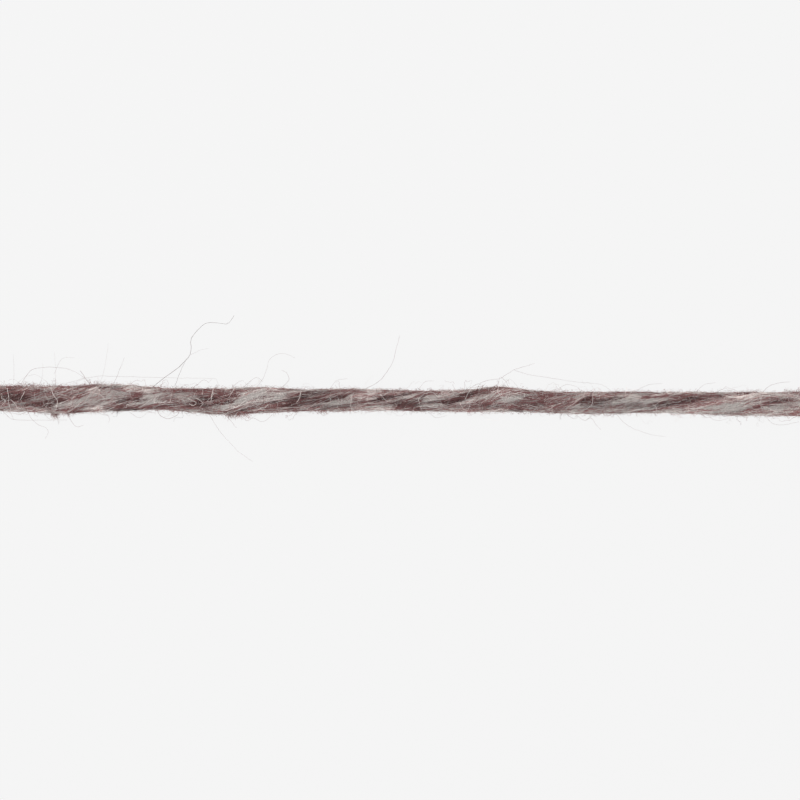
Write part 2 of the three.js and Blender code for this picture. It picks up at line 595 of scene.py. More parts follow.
LOCKS = (
    *locks_of(
        Shade.DEEP_AND_SHADED,
        ((-8, 396), (12, 396), (26, 400)), ((28, 405), (48, 404)), ((42, 401), (64, 399)),
        ((112, 404), (128, 400), (144, 398)), ((108, 409), (144, 410)),
        ((188, 404), (205, 400), (228, 395)), ((186, 406), (208, 405), (228, 401)),
        ((270, 404), (286, 401), (302, 396)), ((276, 406), (300, 406), (318, 404)),
        ((300, 394), (320, 390), (338, 388)), ((294, 404), (312, 401), (326, 399)),
        ((300, 400), (318, 397)), ((322, 400), (334, 398), (344, 396)), ((300, 391), (340, 388)),
        ((322, 388), (342, 389)), ((376, 401), (386, 398), (396, 396), (410, 392)),
        ((390, 404), (412, 403)), ((436, 404), (450, 400), (462, 395), (476, 391)),
        ((478, 406), (500, 406)), ((518, 406), (540, 404)), ((500, 408), (524, 409)),
        ((580, 404), (598, 403)), ((577, 402), (602, 399), (626, 395)),
        ((654, 406), (678, 402), (702, 397)), ((652, 406), (672, 405)),
    ),
    *locks_of(
        Shade.BURGUNDY,
        ((-8, 390), (42, 390)), ((66, 397), (84, 392)), ((58, 408.5), (82, 408)), ((128, 395), (142, 393)),
        ((104, 407), (118, 405)), ((112, 408), (136, 407), (166, 406.5)),
        ((152, 391), (175, 390), (196, 391)), ((157, 398), (168, 400), (180, 401)),
        ((180, 408), (204, 408)), ((192, 393), (205, 391), (228, 391)), ((222, 394), (238, 391)),
        ((204, 403), (228, 398)), ((230, 411), (244, 409)), ((254, 406), (268, 405), (286, 403)),
        ((284, 397), (298, 393)), ((274, 409), (314, 408)), ((310, 398), (332, 394), (346, 391)),
        ((345, 392), (364, 389)), ((351, 403), (366, 402)), ((396, 409.5), (418, 409)),
        ((413, 391), (442, 391)), ((476, 391), (492, 390)), ((476, 401), (500, 400)),
        ((472, 404), (500, 403)), ((482, 405), (496, 402)), ((474, 409), (506, 409)),
        ((500, 406), (522, 407)), ((518, 402), (532, 397), (546, 394)), ((526, 402), (543, 399)),
        ((544, 397), (552, 401), (556, 405)), ((546, 393), (562, 394)), ((557, 401.5), (580, 399.5)),
        ((553, 407), (570, 406)), ((642, 396), (662, 396)), ((702, 396), (726, 394)),
        ((684, 406), (702, 402)), ((664, 396), (684, 394)), ((672, 398), (686, 396)),
        ((660, 408), (682, 406)), ((758, 406), (774, 404)), ((764, 403), (778, 401), (790, 399)),
    ),
    *locks_of(
        Shade.ROSE,
        ((-8, 410), (30, 410), (55, 412)), ((16, 386), (62, 386)), ((62, 388), (82, 389)),
        ((56, 411), (80, 411)), ((214, 388), (236, 388)), ((262, 388), (304, 389)),
        ((344, 388), (364, 388)), ((378, 390), (398, 390)), ((450, 392), (472, 387)),
        ((486, 390), (502, 388)), ((442, 411), (472, 411)), ((500, 387), (522, 390)),
        ((574, 392), (602, 391)), ((600, 393), (618, 393)), ((598, 396), (616, 395)),
        ((684, 392), (710, 392)), ((696, 402), (716, 399)), ((686, 408), (700, 404), (724, 398)),
        ((740, 413), (770, 413)), ((756, 398), (770, 396)), ((784, 413), (806, 411)),
    ),
    *locks_of(
        Shade.MAUVE,
        ((20, 404), (46, 398)), ((40, 395), (62, 391), (78, 388)), ((144, 410), (166, 410)),
        ((160, 395), (172, 395)), ((162, 407), (186, 407)), ((190, 411), (226, 413)),
        ((248, 411), (276, 409)), ((342, 399), (356, 397)), ((366, 405), (384, 404), (394, 406)),
        ((386, 402), (400, 397), (414, 394)), ((424, 409.5), (440, 409)), ((440, 409), (456, 407)),
        ((458, 407), (470, 403)), ((462, 408), (474, 408)), ((524, 392), (540, 392)),
        ((524, 409), (552, 409)), ((560, 396), (578, 394)), ((553, 411), (625, 411)),
        ((616, 410), (640, 410)), ((751, 401), (766, 398)), ((770, 397), (786, 396)),
    ),
    *locks_of(
        Shade.SLATE,
        ((322, 407), (352, 407)), ((404, 401), (422, 398)), ((586, 407), (606, 406)),
        ((604, 405), (636, 405)), ((634, 408), (656, 406)),
    ),
    *locks_of(
        Shade.BEIGE,
        ((-8, 405), (8, 408), (30, 408)), ((86, 400), (101, 397)), ((86, 406), (104, 403), (112, 399)),
        ((98, 389), (122, 389)), ((103, 394), (128, 393)), ((176, 402), (192, 400)),
        ((242, 407), (258, 405)), ((476, 398), (494, 396)), ((551, 399), (563, 396)),
        ((600, 411), (616, 411)), ((642, 410), (672, 411)), ((674, 410), (712, 410)),
        ((788, 404), (808, 402)),
    ),
    *locks_of(
        Shade.GREY,
        ((54, 407), (72, 403), (92, 395), (100, 390)), ((62, 405), (84, 404), (104, 405)),
        ((86, 394), (98, 394)), ((132, 405), (146, 403), (160, 400)), ((144, 397), (152, 395), (164, 393)),
        ((176, 396), (192, 396)), ((212, 409), (232, 405), (250, 397), (264, 390)),
        ((250, 402), (268, 399), (284, 392)), ((324, 405), (338, 403), (354, 402)),
        ((424, 400), (438, 396), (458, 391)), ((422, 406), (441, 404)), ((462, 405), (474, 402)),
        ((498, 401), (516, 397)), ((568, 407), (583, 406)),
        ((610, 403), (630, 399), (652, 399), (666, 397)), ((704, 410), (726, 406), (750, 401)),
        ((712, 413), (744, 412)), ((768, 408), (786, 404)),
    ),
    *locks_of(
        Shade.PALE,
        ((84, 388), (100, 392)), ((122, 387), (156, 389)), ((240, 389), (262, 388)),
        ((316, 410), (392, 410.5)), ((350, 397), (366, 391), (380, 389)), ((358, 398), (372, 395)),
        ((422, 389), (440, 389), (464, 389)), ((552, 390), (578, 390)), ((618, 394), (640, 395)),
        ((600, 389), (640, 389)), ((640, 392), (664, 393)), ((640, 390), (690, 391)),
        ((692, 390), (726, 390)), ((668, 412), (712, 412)), ((716, 399), (740, 398), (756, 398)),
        ((728, 392), (754, 392)), ((754, 393), (772, 394)), ((778, 393), (806, 394)),
        ((780, 391), (806, 390)),
    ),
    *locks_of(
        Shade.WHITE,
        ((84, 410), (102, 410)), ((322, 410.5), (338, 410.5)), ((400, 389), (420, 389)),
        ((730, 394), (752, 396)),
    ),
)

# The dark wisps partly paint the shade along the grooves.
WISPS = (
    Lock(Shade.DEEP_AND_SHADED, ((98, 386.5), (122, 386)), 1.4),
    Lock(Shade.BURGUNDY, ((137, 393), (142, 393)), 4.0),
    Lock(Shade.ROSE, ((155, 388), (190, 387)), 2.0),
    Lock(Shade.BEIGE, ((160, 396), (174, 395)), 1.6),
    Lock(Shade.DEEP_AND_SHADED, ((170, 405), (187, 404)), 2.0),
    Lock(Shade.PALE, ((228, 409), (240, 406), (255, 401), (275, 400), (286, 397)), 1.5),
    Lock(Shade.BURGUNDY, ((262, 397), (270, 396)), 3.0),
    Lock(Shade.DEEP_AND_SHADED, ((300, 398), (319, 396)), 2.0),
    Lock(Shade.MAUVE, ((300, 406), (322, 403)), 2.0),
    Lock(Shade.PALE, ((403, 397), (416, 394)), 2.0),
    Lock(Shade.DEEP_AND_SHADED, ((399, 407), (421, 404)), 2.5),
    Lock(Shade.DEEP_AND_SHADED, ((421, 403), (450, 402)), 1.5),
    Lock(Shade.PALE, ((430, 398), (452, 392)), 1.5),
    Lock(Shade.PALE, ((466, 402), (480, 399)), 2.0),
    Lock(Shade.BURGUNDY, ((508, 390), (521, 390)), 2.0),
    Lock(Shade.DEEP_AND_SHADED, ((519, 406), (531, 404)), 1.5),
    Lock(Shade.DEEP_AND_SHADED, ((560, 401), (574, 400.5)), 1.6),
    Lock(Shade.PALE, ((571, 402), (584, 395)), 1.6),
    Lock(Shade.DEEP_AND_SHADED, ((698, 398), (727, 395.5)), 1.1),
    Lock(Shade.BURGUNDY, ((731, 399), (739, 400)), 3.0),
    Lock(Shade.DEEP_AND_SHADED, ((768, 402), (787, 399)), 2.0),
)

HAIRS = (
    *hairs_of(
        Shade.DEEP_AND_SHADED,
        0.06,
        (
            (152, 386), (167, 374), (177, 367), (185, 359), (188.5, 354), (190, 347), (189.5, 339),
            (194, 332), (200, 326), (207, 322), (217, 322.5), (227, 323), (233, 315),
        ),
        ((188, 404), (191, 398), (197, 398), (199, 403), (206, 402)),
        ((196, 404), (201, 397), (208, 398), (212, 396)),
    ),
    *hairs_of(Shade.DEEP_AND_SHADED, 0.04, ((174, 385), (179, 372), (186, 358))),
    *hairs_of(
        Shade.MAUVE,
        0.022,
        ((188, 355), (198, 350), (207, 348)),
        ((52, 374), (57, 361), (63, 357), (72, 357)),
        ((13, 386), (12.5, 370), (12.5, 354)),
        ((40, 386), (39.7, 376), (40, 363)),
        ((54, 386), (54, 370), (53, 352)),
        ((12, 386), (18, 380), (24, 376), (34, 374), (42, 379)),
        ((99, 386), (101, 373), (104, 355), (105, 343)),
    ),
    *hairs_of(
        Shade.MAUVE,
        0.03,
        (
            (64, 383), (83, 378), (100, 375.3), (113, 375.8), (150, 376.7), (183, 377.5), (213, 378),
            (216, 379), (217.5, 387),
        ),
        ((256, 388), (262, 378), (266, 368), (268, 360), (275, 354), (284, 353), (294, 357)),
        ((330, 388), (336, 380), (347, 378)),
        ((418, 391), (424, 382), (434, 380)),
        ((515, 369), (530, 374), (550, 377), (575, 381), (602, 384), (612, 390)),
        ((556, 391), (566, 384), (577, 386), (582, 391)),
        ((636, 391), (650, 384), (664, 383)),
        ((698, 391), (706, 384), (718, 382)),
        ((8, 410), (10, 415), (12, 419)),
        ((2, 411), (9, 418), (20, 419.5), (38, 419.5), (65, 419.3)),
        ((208, 412), (220, 432), (230, 443), (240, 453), (252, 461)),
        ((128, 411), (138, 417), (146, 412)),
        ((428, 411), (436, 417), (447, 415)),
        ((616, 413), (628, 424), (640, 430), (652, 434), (667, 436)),
        ((708, 414), (718, 420), (730, 418)),
    ),
    *hairs_of(
        Shade.MAUVE,
        0.035,
        ((26, 411), (33, 422), (43, 427), (46, 432), (42, 439)),
        ((576, 413), (585, 420), (592, 417), (597, 424), (602, 429)),
        ((764, 414), (776, 423), (788, 424), (802, 421)),
    ),
    *hairs_of(
        Shade.BURGUNDY,
        0.035,
        ((20, 383), (27, 372), (34, 368), (50, 366.5), (67, 368.5), (77, 373), (85, 379), (91, 386)),
        ((112, 386), (117, 372), (123, 357)),
        ((243, 387), (250, 380), (256, 377), (262, 381)),
        ((53, 411), (56, 418), (57.5, 424)),
        ((96, 411), (101, 414), (106, 415), (108, 418.5), (106.5, 421.5)),
        ((238, 413), (246, 420), (252, 417), (262, 421), (272, 414)),
    ),
    *hairs_of(
        Shade.BURGUNDY,
        0.04,
        ((280, 388), (288, 380), (286, 372), (281, 370)),
        ((366, 388), (378, 381), (385, 374), (393, 360), (396, 348), (400, 335)),
        ((470, 387), (487, 380), (500, 378), (508, 373), (515, 369), (525, 366), (535, 363)),
        ((764, 391), (768, 388), (775, 384), (783, 382), (792, 381)),
        ((66, 411), (68, 418), (71, 423), (75, 426), (81, 425)),
        ((224, 413), (230, 420), (236, 427)),
        ((318, 410), (323, 415), (329, 412)),
    ),
    *hairs_of(
        Shade.BURGUNDY,
        0.05,
        ((79, 370), (84, 378), (91, 386)),
        ((156, 409), (159, 415), (166, 418), (175, 415), (179, 410)),
    ),
    *hairs_of(Shade.WHITE, 0.095, ((213, 388), (212, 395), (211, 401))),
    *hairs_of(
        Shade.WHITE,
        0.06,
        ((7, 388), (9, 396), (9, 402), (10, 409)),
        ((11, 399), (15, 403), (18, 409)),
        ((25, 391), (22, 397), (20, 400)),
        ((52, 390), (55, 396), (58, 400), (57, 405), (55, 411)),
        ((88, 392), (98, 393), (106, 398)),
        ((188, 398), (196, 402), (193, 405), (189, 403)),
        ((195, 397), (203, 402), (200, 406)),
        ((234, 388), (231, 394), (229, 397)),
        ((301, 390), (299, 398), (296, 403)),
        ((418, 397), (420, 404)),
        ((500, 384), (498, 390), (501, 396)),
        ((628, 387), (625, 396)),
        ((653, 404), (657, 407), (657, 412)),
    ),
    *hairs_of(
        Shade.WHITE,
        0.053,
        ((352, 395), (351, 404), (352, 411)),
        ((380, 393), (385, 399), (388, 401)),
        ((460, 402), (463, 408), (468, 410)),
        ((472, 387), (468, 393), (465, 399)),
        ((595, 388), (593, 396), (592, 404), (586, 409)),
        ((226, 409.5), (240, 405), (252, 401), (268, 400), (285, 398)),
        ((404, 397), (416, 393), (426, 391)),
        ((569, 406), (577, 401), (585, 394)),
    ),
    *hairs_of(
        Shade.PALE,
        0.048,
        ((60, 409), (80, 404), (100, 398), (112, 393)),
        ((96, 406), (112, 401), (130, 397)),
        ((140, 399), (152, 395), (170, 394), (184, 396)),
        ((264, 402), (282, 398), (300, 391)),
        ((300, 407.5), (318, 403), (330, 398), (343, 391)),
        ((386, 402), (400, 397), (413, 393)),
        ((428, 400), (440, 395), (452, 390)),
        ((464, 406), (472, 399), (487, 393)),
        ((604, 402), (616, 398), (629, 393)),
        ((689, 405), (703, 400), (717, 396)),
    ),
    *hairs_of(
        Shade.ROSE,
        0.05,
        ((200, 403), (216, 399), (232, 394), (246, 390)),
        ((312, 397), (326, 393), (340, 390)),
        ((444, 401), (457, 395), (468, 388)),
        ((726, 402), (740, 399), (752, 394)),
    ),
)

TUFTS = (
    Tuft((53, 412), (3.5, 5), 5),
    Tuft((66, 411), (5, 5), 2),
    Tuft((229, 412), (3.5, 5), 5),
    Tuft((239, 411.5), (8, 5), 6),
    Tuft((323, 410), (5, 3), 1),
    Tuft((342, 409), (4, 3), 1),
    Tuft((6, 388), (14, 5), 3),
    Tuft((24, 388), (12, 5), 3),
    Tuft((42, 388), (14, 6), 3),
    Tuft((66, 388), (14, 4), 2),
    Tuft((92, 387), (10, 6), 2),
    Tuft((794, 392), (8, 4), 1),
)


def drawn(name: str, courses: Sequence[list[tuple[float, float, float]]]) -> bpy.types.Mesh:
    """Draws a mesh of lines.

    Args:
        name: The mesh's name.
        courses: A course of points for each line, in millimetres.

    Returns:
        The mesh, in metres.
    """
    points: list[tuple[float, float, float]] = []
    edges: list[tuple[int, int]] = []
    for course in courses:
        first = len(points)
        points += [(x * MM, y * MM, z * MM) for x, y, z in course]
        edges += [(i, i + 1) for i in range(first, len(points) - 1)]
    mesh = bpy.data.meshes.new(name)
    mesh.from_pydata(points, edges, [])
    return mesh


def marked(name: str, rows: Sequence[Lock], plan: Plan) -> bpy.types.Object:
    """Draws locks as flat lines for the marl to look up.

    Args:
        name: The drawing's name.
        rows: The locks.
        plan: The plan that they are drawn on.

    Returns:
        The drawing. Each edge stores its lock's share of grey, its lightness and its width in metres.
    """
    courses = [[(*plan.place(spot), 0.0) for spot in lock.course] for lock in rows]
    mesh = drawn(name, courses)
    dye = mesh.attributes.new("dye", "FLOAT_VECTOR", "EDGE")
    edge = 0
    for lock in rows:
        for _ in lock.course[1:]:
            dye.data[edge].vector = (*lock.shade.value, lock.width * plan.step * MM)
            edge += 1
    return linked(name, mesh)


# Trees that every piece of wool shares


@dataclass(frozen=True)
class Streaks:
    """Noise in streaks that run along the fibres, by the streaks' length and width."""

    length: float
    width: float
    shift: float = 0.0
    detail: float = 1.0

    def at(self, sheet: Sheet, grain: Term) -> Term:
        """The noise at a place in its ply, mostly between -1 and 1."""
        x, u, v = sheet.parts(grain)
        return sheet.noise(x / self.length + self.shift, u / self.width, v / self.width, self.detail)


@dataclass(frozen=True)
class Pattern:
    """How the two wools mix. A swing is how far a value goes either way with the noise."""

    ragged: Streaks = Streaks(2.5, 0.3)
    drift: Streaks = Streaks(1.5, 0.4, shift=40.0)
    broad: Streaks = Streaks(9.0, 0.9, detail=0.0)
    fine: Streaks = Streaks(4.0, 0.25)
    stray_along: float = 0.5
    stray_across: float = 0.1
    side_edge: float = -0.05  # the upper side gives way to the underside at this cosine
    side_swing: float = 0.12
    grey: float = 0.5
    grey_swing: float = 0.6
    tone: float = 0.42
    tone_swing: float = 0.2
    steep_from: float = 0.86  # the drawn locks give way from this sine on, where the side falls away
    steep_to: float = 0.99
    steep_share: float = 0.6
    lock_reach: float = 0.6
    lock_end: float = 1.3
    wisp_reach: float = 0.35  # of the wisp's width
    wisp_end: float = 0.7
    fine_grey: float = 0.12
    fine_tone: float = 0.08


@dataclass
class YarnTrees:
    """The node groups that turn a place in the wool into a place on the table."""

    line: YarnLine
    pattern: Pattern = Pattern()
    singles_twist: float = 0.09  # radians a millimetre: each single's own twist, against the plies'
    ply_apart: float = 10.0  # how far apart the plies read the noise, so that each has its own
    bundles: Streaks = Streaks(7.0, 0.42)
    bundle_depth: float = 0.04
    small_bundles: Streaks = Streaks(3.5, 0.14)
    small_depth: float = 0.02
    bulges: Streaks = Streaks(7.0, 3.0)
    bulge_depth: float = 0.03
    underside_shift: float = 14.7  # the underside repeats the marl half a turn of the plies along

    def __post_init__(self) -> None:
        """Draws up the groups once."""
        self.stance = self._stance()
        self.grain = self._grain()
        self.surface = self._surface()
        self.marl = self._marl()

    def _stance(self) -> bpy.types.NodeTree:
        """Draws up the group that reads the guide at a place along the strand.

        Returns:
            The group: from Guide and Along it gives Stance, the turn and size, Axis, the axis's place
            across and its height, and Hair, the hairiness of the far, upper and near side.
        """
        sheet = Sheet("Stance")
        guide = sheet.take("Guide", "Geometry")
        along = sheet.take("Along", "Float")
        inputs = {"Value": along, "From Min": -self.line.end * MM, "From Max": self.line.end * MM}
        factor = sheet.one("ShaderNodeMapRange", "Result", inputs)
        for name in ("Stance", "Axis", "Hair"):
            inputs = {"Curves": guide, "Value": sheet.named(name.lower()), "Factor": factor}
            settings = {"data_type": "FLOAT_VECTOR", "mode": "FACTOR", "use_all_curves": True}
            sheet.give(name, "Vector", sheet.one("GeometryNodeSampleCurve", "Value", inputs, **settings))
        return sheet.tree

    def _grain(self) -> bpy.types.NodeTree:
        """Draws up the group that says where in its ply a place is.

        Returns:
            The group: from Along and Around it gives Reach, in metres, and Grain, in millimetres, a place
            that stays the same across the ply all along one fibre.
        """
        line = self.line
        sheet = Sheet("Ply grain")
        along = sheet.take("Along", "Float")
        around = sheet.take("Around", "Float")
        half = line.ply_angle / 2
        lean = sheet.calc("WRAP", around, half, -half)
        turned = sheet.calc("FLOOR", (around + half) / line.ply_angle)
        ply = sheet.calc("WRAP", turned, float(line.ply_count), 0.0)
        sideways, outwards = sheet.calc("SINE", lean), sheet.calc("COSINE", lean)
        root = sheet.calc("SQRT", line.ply_radius**2 - sideways * sideways * line.ply_offset**2)
        reach = outwards * line.ply_offset + root
        sheet.give("Reach", "Float", reach * MM)
        u = reach * outwards - line.ply_offset
        v = reach * sideways
        own = along * (self.singles_twist / MM)
        cos, sin = sheet.calc("COSINE", own), sheet.calc("SINE", own)
        grain = sheet.point(along / MM, u * cos - v * sin + ply * self.ply_apart, u * sin + v * cos)
        sheet.give("Grain", "Vector", grain)
        return sheet.tree

    def _surface(self) -> bpy.types.NodeTree:
        """Draws up the group that places a point on the strand.

        Returns:
            The group: from Guide, Along, Around, Depth and Lift it gives Position, in metres, and
            Hairiness. Depth is 1 on the surface and 0 on the strand's axis.
        """
        sheet = Sheet("Yarn surface")
        guide = sheet.take("Guide", "Geometry")
        along = sheet.take("Along", "Float")
        around = sheet.take("Around", "Float")
        depth = sheet.take("Depth", "Float", 1.0)
        lift = sheet.take("Lift", "Float")
        here = sheet.group(self.stance, {"Guide": guide, "Along": along})
        turn, size, _ = sheet.parts(sheet.out(here, "Stance"))
        across, height, _ = sheet.parts(sheet.out(here, "Axis"))
        far, upper, near = sheet.parts(sheet.out(here, "Hair"))
        ply = sheet.group(self.grain, {"Along": along, "Around": around})
        relief = self._relief(sheet, sheet.out(ply, "Grain"))
        radius = (sheet.out(ply, "Reach") + relief) * size * depth + lift
        angle = around + turn
        sideways, upwards = sheet.calc("SINE", angle), sheet.calc("COSINE", angle)
        y = across + radius * sideways
        z = sheet.calc("MAXIMUM", height + radius * upwards, self.line.clear_of_table * MM)
        sheet.give("Position", "Vector", sheet.point(along, y, z))
        side = sheet.blend(near, far, sideways * 0.5 + 0.5)
        top = sheet.calc("MAXIMUM", upwards, 0.0)
        sheet.give("Hairiness", "Float", sheet.blend(side, upper, top * top))
        return sheet.tree

    def _relief(self, sheet: Sheet, grain: Term) -> Term:
        """Adds the relief of a ply's fibre bundles.

        Args:
            sheet: The sheet to draw on.
            grain: The place in its ply.

        Returns:
            The height over the ply's smooth round, in metres.
        """
        bundles = self.bundles.at(sheet, grain) * self.bundle_depth
        small = self.small_bundles.at(sheet, grain) * self.small_depth
        bulges = self.bulges.at(sheet, grain) * self.bulge_depth
        return (bundles + small + bulges) * MM

    def _marl(self) -> bpy.types.NodeTree:
        """Draws up the group that says what wool there is at a place on the surface.

        Returns:
            The group: from Guide, Locks, Wisps, Along and Around it gives Grey, from 0, all burgundy, to 1,
            all grey, and Tone, from 0, dark, to 1, light. Where no lock is drawn it follows smooth noise.
        """
        sheet, pattern = Sheet("Marl"), self.pattern
        guide, locks, wisps = (sheet.take(name, "Geometry") for name in ("Guide", "Locks", "Wisps"))
        along = sheet.take("Along", "Float")
        around = sheet.take("Around", "Float")
        here = sheet.group(self.stance, {"Guide": guide, "Along": along})
        turn, size, _ = sheet.parts(sheet.out(here, "Stance"))
        across, _, _ = sheet.parts(sheet.out(here, "Axis"))
        ply = sheet.group(self.grain, {"Along": along, "Around": around})
        grain = sheet.out(ply, "Grain")
        angle = around + turn
        sideways, upwards = sheet.calc("SINE", angle), sheet.calc("COSINE", angle)
        ragged, drift = pattern.ragged.at(sheet, grain), pattern.drift.at(sheet, grain)
        broad, fine = pattern.broad.at(sheet, grain), pattern.fine.at(sheet, grain)
        upper = sheet.calc("GREATER_THAN", upwards + ragged * pattern.side_swing, pattern.side_edge)
        beneath = (1.0 - upper) * (self.underside_shift * MM)
        seen_x = along + beneath + ragged * (pattern.stray_along * MM)
        side = upper * 2.0 - 1.0
        beside = sheet.out(ply, "Reach") * size * sideways * side
        seen_y = across + beside + drift * (pattern.stray_across * MM)
        place = sheet.point(seen_x, seen_y, 0.0)
        grey = broad * pattern.grey_swing + pattern.grey
        tone = broad * pattern.tone_swing + pattern.tone
        dye, distance = sheet.nearest(locks, place, "dye")
        lock_grey, lock_tone, _ = sheet.parts(dye)
        steep = sheet.ramp(sheet.calc("ABSOLUTE", sideways), pattern.steep_from, pattern.steep_to)
        past = sheet.ramp(distance, pattern.lock_reach * MM, pattern.lock_end * MM)
        bare = sheet.calc("MAXIMUM", past, steep * pattern.steep_share)
        grey, tone = sheet.blend(lock_grey, grey, bare), sheet.blend(lock_tone, tone, bare)
        dye, distance = sheet.nearest(wisps, place, "dye")
        wisp_grey, wisp_tone, width = sheet.parts(dye)
        bare = sheet.ramp(distance, width * pattern.wisp_reach, width * pattern.wisp_end)
        grey, tone = sheet.blend(wisp_grey, grey, bare), sheet.blend(wisp_tone, tone, bare)
        sheet.give("Grey", "Float", sheet.clamp(grey + fine * pattern.fine_grey))
        sheet.give("Tone", "Float", sheet.clamp(tone + fine * pattern.fine_tone))
        return sheet.tree


# Finishes


@dataclass(frozen=True)
class WoolFinish:
    """How wool takes its dye and the light."""

    name: str
    darkest: float = 0.3
    lightest: float = 1.8
    roughness: float = 0.9
    sheen: float = 0.15
    sheen_roughness: float = 0.5
    specular: float = 0.15

    groups: ClassVar[dict[str, bpy.types.NodeTree]] = {}

    @classmethod
    def dye(cls) -> bpy.types.NodeTree:
        """Draws up, once, the group that colours a fibre from its share of grey and its lightness.

        Returns:
            The shader group.
        """
        if "dye" not in cls.groups:
            sheet = Sheet("Wool dye", "ShaderNodeTree")
            grey = sheet.take("Grey", "Float", 0.5)
            tone = sheet.take("Tone", "Float", 0.5)
            darkest = sheet.take("Darkest", "Float", cls.darkest)
            lightest = sheet.take("Lightest", "Float", cls.lightest)
            inputs = {"Factor": grey, "A": Dye.BURGUNDY.value, "B": Dye.GREY.value}
            mixed = sheet.one("ShaderNodeMix", "Result", inputs, data_type="RGBA")
            level = sheet.blend(darkest, lightest, tone)
            inputs = {"Vector": mixed, "Scale": level}
            shade = sheet.one("ShaderNodeVectorMath", "Vector", inputs, operation="SCALE")
            sheet.give("Color", "Color", shade)
            cls.groups["dye"] = sheet.tree
        return cls.groups["dye"]

    def material(self) -> bpy.types.Material:
        """The finish as a material that reads the attributes grey and tone.

        Returns:
            The material.
        """
        made = bpy.data.materials.new(self.name)
        made.use_nodes = True
        nodes, links = made.node_tree.nodes, made.node_tree.links
        shader = nodes["Principled BSDF"]
        shader.inputs["Roughness"].default_value = self.roughness
        shader.inputs["Sheen Weight"].default_value = self.sheen
        shader.inputs["Sheen Roughness"].default_value = self.sheen_roughness
        shader.inputs["Specular IOR Level"].default_value = self.specular
        dye = nodes.new("ShaderNodeGroup")
        dye.node_tree = self.dye()
        dye.inputs["Darkest"].default_value = self.darkest
        dye.inputs["Lightest"].default_value = self.lightest
        for name in ("Grey", "Tone"):
            source = nodes.new("ShaderNodeAttribute")
            source.attribute_name = name.lower()
            links.new(source.outputs["Fac"], dye.inputs[name])
        links.new(dye.outputs["Color"], shader.inputs["Base Color"])
        return made


@dataclass(frozen=True)
class TableFinish:
    """A pale table that is lit from below as well, so a strand throws almost no shadow on it."""

    name: str = "pale_table"
    colour: tuple[float, float, float, float] = (0.04, 0.04, 0.04, 1.0)
    glow: float = 0.866

    def material(self) -> bpy.types.Material:
        """The finish as a material.

        Returns:
            The material.
        """
        made = bpy.data.materials.new(self.name)
        made.use_nodes = True
        shader = made.node_tree.nodes["Principled BSDF"]
        shader.inputs["Base Color"].default_value = self.colour
        shader.inputs["Roughness"].default_value = 1.0
        shader.inputs["Specular IOR Level"].default_value = 0.0
        shader.inputs["Emission Color"].default_value = (1.0, 1.0, 1.0, 1.0)
        shader.inputs["Emission Strength"].default_value = self.glow
        return made


# Pieces of wool


@dataclass
class Maker:
    """What every piece of wool is made with."""

    line: YarnLine
    plan: Plan
    trees: YarnTrees
    guide: bpy.types.Object
    locks: bpy.types.Object
    wisps: bpy.types.Object

    def start(self, name: str) -> Sheet:
        """Starts a piece's tree.

        Args:
            name: The tree's name.

        Returns:
            The sheet, which now holds the drawings that the shared groups read.
        """
        sheet = Sheet(name)
        sheet.take("Geometry", "Geometry")
        drawings = {}
        for title in ("Guide", "Locks", "Wisps"):
            given = sheet.take(title, "Object")
            drawings[title] = sheet.one("GeometryNodeObjectInfo", "Geometry", {"Object": given})
        guide = sheet.one("GeometryNodeMeshToCurve", "Curve", {"Mesh": drawings["Guide"]})
        sheet.drawings = {**drawings, "Guide": guide}
        return sheet

    def values(self) -> dict[str, Any]:
        """The named inputs that every piece's tree takes."""
        return {"Guide": self.guide, "Locks": self.locks, "Wisps": self.wisps}

    def finish(self, sheet: Sheet, geometry: Term, material: bpy.types.Material) -> bpy.types.NodeTree:
        """Ends a piece's tree with its instances realized and its material set.

        Args:
            sheet: The piece's sheet.
            geometry: The piece's mesh.
            material: Its material.

        Returns:
            The finished tree.
        """
        smooth = sheet.one("GeometryNodeSetShadeSmooth", "Geometry", {"Geometry": geometry})
        solid = sheet.one("GeometryNodeRealizeInstances", "Geometry", {"Geometry": smooth})
        inputs = {"Geometry": solid, "Material": material}
        dressed = sheet.one("GeometryNodeSetMaterial", "Geometry", inputs)
        sheet.give("Geometry", "Geometry", dressed)
        return sheet.tree

    def surface(
        self, sheet: Sheet, along: Term, around: Term, lift: Any, depth: Any = 1.0
    ) -> tuple[Term, Term]:
        """Finds a place on the strand's surface.

        Args:
            sheet: The piece's sheet.
            along: The place along the strand, in metres.
            around: The place round it, in radians, before the twist.
            lift: How far over the surface the place is, in metres.
            depth: 1 on the surface and 0 on the strand's axis.

        Returns:
            The place's position and its hairiness.
        """
        inputs = {"Along": along, "Around": around, "Depth": depth, "Lift": lift}
        node = sheet.group(self.trees.surface, {"Guide": sheet.drawings["Guide"], **inputs})
        return sheet.out(node, "Position"), sheet.out(node, "Hairiness")

    def marl(self, sheet: Sheet, along: Term, around: Term) -> tuple[Term, Term]:
        """The wool at a place on the surface: its share of grey and its lightness."""
        node = sheet.group(self.trees.marl, {**sheet.drawings, "Along": along, "Around": around})
        return sheet.out(node, "Grey"), sheet.out(node, "Tone")


